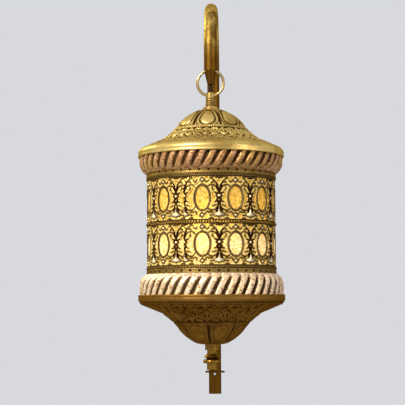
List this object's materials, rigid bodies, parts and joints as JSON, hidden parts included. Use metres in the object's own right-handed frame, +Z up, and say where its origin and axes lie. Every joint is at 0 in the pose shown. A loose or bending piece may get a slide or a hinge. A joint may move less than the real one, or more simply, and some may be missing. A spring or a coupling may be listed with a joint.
{
  "type": "hanging wall lantern",
  "caption": "Drum-shaped pierced metal lantern with a domed cap and bowl, hung by a ring from a brass crook arm that swivels on a wall fixing.",
  "frame": {"origin": "on the wall, behind the middle of the arm's socket, midway between the two wall slots", "axes": "+Z up; +Y into the wall, so that the lantern stands out from it along -Y; +X to the right of someone who faces the wall"},
  "size_m": [0.1506, 0.2153, 0.4202],
  "materials": {
    "arm_brass": "worn polish",
    "pale_brass": "polished",
    "stamped_brass": "antique, dark in the hollows",
    "drum_brass": "antique",
    "copper_band": "antique copper wash",
    "plain_brass": "plain turned",
    "bracket_steel": "zinc plated",
    "screw_steel": "bright",
    "terminal_plastic": "matt",
    "flex_cover": "matt",
    "amber_glass": "crackled amber",
    "holder_ceramic": "glazed",
    "bulb_cap_metal": "rolled thread",
    "bulb_glass": "clear",
    "filament_metal": "glowing"
  },
  "bodies": {
    "wall_fixing": {"wall_bracket": "bracket_steel", "stem_pipe": "plain_brass", "stem_lock_nut": "plain_brass", "terminal_block": "terminal_plastic", "terminal_screws": "screw_steel", "earth_screw": "plain_brass", "arm_socket": "arm_brass", "flex_in_stem": "flex_cover"},
    "canopy": {"wall_canopy": "arm_brass"},
    "canopy_nut": {"canopy_ring_nut": "arm_brass"},
    "clamp": {"clamp_screw": "arm_brass"},
    "arm": {"arm_tube": "arm_brass", "arm_tip": "arm_brass", "arm_end_fitting": "arm_brass", "arm_end_screw": "screw_steel", "arm_bearing_ring": "arm_brass", "bearing_grub_screw": "screw_steel", "flex_in_arm": "flex_cover"},
    "ring": {"hanging_ring": "pale_brass", "flex_at_ring": "flex_cover"},
    "lantern": {"cap_dome": "stamped_brass", "upper_ribbed_band": "copper_band", "upper_collar": "drum_brass", "lower_collar": "drum_brass", "lower_ribbed_band": "copper_band", "divider_wire": "drum_brass", "amber_diffuser": "amber_glass", "upper_pierced_sheet": "drum_brass", "lower_pierced_sheet": "drum_brass", "eye_pipe": "stamped_brass", "cap_collar_nut": "stamped_brass", "cap_washer": "plain_brass", "top_cross_bar": "bracket_steel", "pipe_locknuts": "plain_brass", "holder_cap": "plain_brass", "holder_body": "holder_ceramic", "holder_shell": "plain_brass", "holder_contact": "plain_brass", "bottom_cross_bar": "bracket_steel", "bowl_rod": "plain_brass", "rod_nuts": "plain_brass", "flex_in_lantern": "flex_cover"},
    "bulb": {"bulb_cap": "bulb_cap_metal", "bulb_glass": "bulb_glass", "bulb_filament": "filament_metal"},
    "bowl": {"bowl": "stamped_brass"},
    "finial": {"bottom_finial": "stamped_brass"}
  },
  "joints": [
    {"name": "arm_swivel", "type": "hinge", "parent": "wall_fixing", "child": "arm", "pos_m": [0, -0.045, 0], "axis": [0, 0, 1], "range_deg": [-45, 45]},
    {"name": "lantern_sway", "type": "hinge", "parent": "arm", "child": "ring", "pos_m": [0, -0.1416, 0.1421], "axis": [0, 1, 0], "range_deg": [-15, 15]},
    {"name": "lantern_swing", "type": "hinge", "parent": "ring", "child": "lantern", "pos_m": [0, -0.1416, 0.12893], "axis": [-1, 0, 0], "range_deg": [-3, 25], "deforming": ["flex_at_ring"]},
    {"name": "bowl_drop", "type": "slide", "parent": "lantern", "child": "bowl", "axis": [0, 0, -1], "range_m": [0, 0.06]},
    {"name": "finial_turn", "type": "hinge", "parent": "bowl", "child": "finial", "pos_m": [0, -0.14, -0.13], "axis": [0, 0, 1], "continuous": true},
    {"name": "bulb_turn", "type": "hinge", "parent": "lantern", "child": "bulb", "pos_m": [0, -0.14, 0], "axis": [0, 0, 1], "continuous": true},
    {"name": "canopy_slide", "type": "slide", "parent": "wall_fixing", "child": "canopy", "axis": [0, -1, 0], "range_m": [0, 0.0115]},
    {"name": "canopy_nut_turn", "type": "hinge", "parent": "canopy", "child": "canopy_nut", "pos_m": [0, -0.018, 0], "axis": [0, -1, 0], "continuous": true},
    {"name": "clamp_screw_turn", "type": "hinge", "parent": "wall_fixing", "child": "clamp", "pos_m": [0.013, -0.045, 0.011], "axis": [1, 0, 0], "continuous": true}
  ]
}
